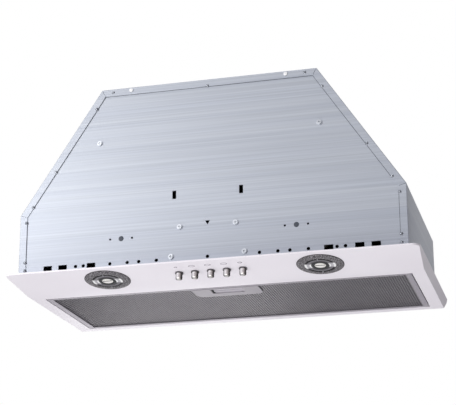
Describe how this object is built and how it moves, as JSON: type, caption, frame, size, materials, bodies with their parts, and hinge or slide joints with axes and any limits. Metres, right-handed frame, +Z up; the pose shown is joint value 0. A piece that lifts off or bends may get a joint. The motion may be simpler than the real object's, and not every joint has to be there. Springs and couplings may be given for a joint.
{
  "type": "range hood",
  "caption": "Built-in under-cabinet range hood with a folded steel casing, sloping control strip, push buttons, two downlights and a swing-down grease filter.",
  "frame": {"origin": "middle of the fascia panel's top face, where it seats under the cabinet", "axes": "+X to the right as the user sees it from the front, +Y towards the wall, +Z up into the cabinet"},
  "size_m": [0.527, 0.285, 0.2909],
  "materials": {
    "casing_sheet": "satin",
    "enamel": "gloss",
    "screw_zinc": "gloss",
    "bezel_grey": "satin",
    "lens_glass": "gloss",
    "reflector_silver": "gloss",
    "bulb_frosted": "satin",
    "ceramic_white": "matte",
    "spring_steel": "gloss",
    "collar_grey": "gloss",
    "black_plastic": "matte",
    "bracket_zinc": "satin",
    "terminal_board": "matte",
    "capacitor_case": "satin",
    "motor_steel": "satin",
    "grommet_rubber": "matte",
    "wire_sleeve": "satin",
    "filter_rail": "satin",
    "filter_mesh_grey": "satin",
    "filter_wool": "matte",
    "handle_lilac": "satin",
    "button_chrome": "gloss",
    "flap_plastic": "satin",
    "wheel_plastic": "matte"
  },
  "bodies": {
    "casing": {"casing_wrap": "casing_sheet", "front_sheet": "casing_sheet", "rear_sheet": "casing_sheet", "fascia_panel": "enamel", "seam_screws": "screw_zinc", "front_screws": "screw_zinc", "foot_screws": "screw_zinc", "lamp_bezel_left": "bezel_grey", "lamp_bezel_right": "bezel_grey", "lamp_glass_left": "lens_glass", "lamp_glass_right": "lens_glass", "lamp_reflector_left": "reflector_silver", "lamp_reflector_right": "reflector_silver", "lamp_bulb_left": "bulb_frosted", "lamp_bulb_right": "bulb_frosted", "lamp_holders": "ceramic_white", "lamp_clips": "spring_steel", "button_collars": "collar_grey", "switch_housing": "black_plastic", "switch_bracket": "bracket_zinc", "switch_board": "terminal_board", "control_box": "bracket_zinc", "control_box_lid": "bracket_zinc", "terminal_block": "ceramic_white", "capacitor": "capacitor_case", "lamp_transformer": "black_plastic", "cable_gland": "black_plastic", "blower_brace": "bracket_zinc", "scroll_wrap": "bracket_zinc", "scroll_side_left": "bracket_zinc", "scroll_side_right": "bracket_zinc", "inlet_ring": "bracket_zinc", "motor_can": "motor_steel", "motor_spider": "bracket_zinc", "motor_grommets": "grommet_rubber", "motor_screws": "screw_zinc", "outlet_collar": "black_plastic", "collar_ring": "bracket_zinc", "collar_screws": "screw_zinc", "damper_pin": "spring_steel", "hinge_brackets": "bracket_zinc", "internal_wiring": "wire_sleeve"},
    "filter": {"filter_frame": "filter_rail", "filter_mesh": "filter_mesh_grey", "filter_core": "filter_wool", "filter_back_mesh": "filter_mesh_grey", "filter_pivots": "spring_steel", "handle_plate": "handle_lilac", "handle_nuts": "screw_zinc", "latch_spring": "spring_steel"},
    "latch": {"latch_slider": "handle_lilac"},
    "push_off": {"button_off": "button_chrome"},
    "push_speed_1": {"button_speed_1": "button_chrome"},
    "push_speed_2": {"button_speed_2": "button_chrome"},
    "push_speed_3": {"button_speed_3": "button_chrome"},
    "push_light": {"button_light": "button_chrome"},
    "flap_front": {"damper_flap_front": "flap_plastic"},
    "flap_rear": {"damper_flap_rear": "flap_plastic"},
    "fan": {"fan_wheel": "wheel_plastic", "motor_shaft": "spring_steel"}
  },
  "joints": [
    {"name": "filter_swing", "type": "hinge", "parent": "casing", "child": "filter", "pos_m": [0, 0.1175, -0.0094], "axis": [1, 0, 0], "range_deg": [0, 75]},
    {"name": "latch_slide", "type": "slide", "parent": "filter", "child": "latch", "axis": [0, 1, 0], "range_m": [0, 0.007], "stiffness_N_per_m": 300, "springref_m": -0.004, "deforming": ["latch_spring"]},
    {"name": "off_press", "type": "slide", "parent": "casing", "child": "push_off", "axis": [0, 0.147, 0.9891], "range_m": [0, 0.003], "stiffness_N_per_m": 600, "springref_m": -0.002},
    {"name": "speed_1_press", "type": "slide", "parent": "casing", "child": "push_speed_1", "axis": [0, 0.147, 0.9891], "range_m": [0, 0.003], "stiffness_N_per_m": 600, "springref_m": -0.002},
    {"name": "speed_2_press", "type": "slide", "parent": "casing", "child": "push_speed_2", "axis": [0, 0.147, 0.9891], "range_m": [0, 0.003], "stiffness_N_per_m": 600, "springref_m": -0.002},
    {"name": "speed_3_press", "type": "slide", "parent": "casing", "child": "push_speed_3", "axis": [0, 0.147, 0.9891], "range_m": [0, 0.003], "stiffness_N_per_m": 600, "springref_m": -0.002},
    {"name": "light_press", "type": "slide", "parent": "casing", "child": "push_light", "axis": [0, 0.147, 0.9891], "range_m": [0, 0.003], "stiffness_N_per_m": 600, "springref_m": -0.002},
    {"name": "flap_front_swing", "type": "hinge", "parent": "casing", "child": "flap_front", "pos_m": [0, 0.024, 0.254], "axis": [-1, 0, 0], "range_deg": [0, 75]},
    {"name": "flap_rear_swing", "type": "hinge", "parent": "casing", "child": "flap_rear", "pos_m": [0, 0.024, 0.254], "axis": [1, 0, 0], "range_deg": [0, 75]},
    {"name": "fan_spin", "type": "hinge", "parent": "casing", "child": "fan", "pos_m": [0, -0.01, 0.108], "axis": [1, 0, 0], "continuous": true}
  ]
}
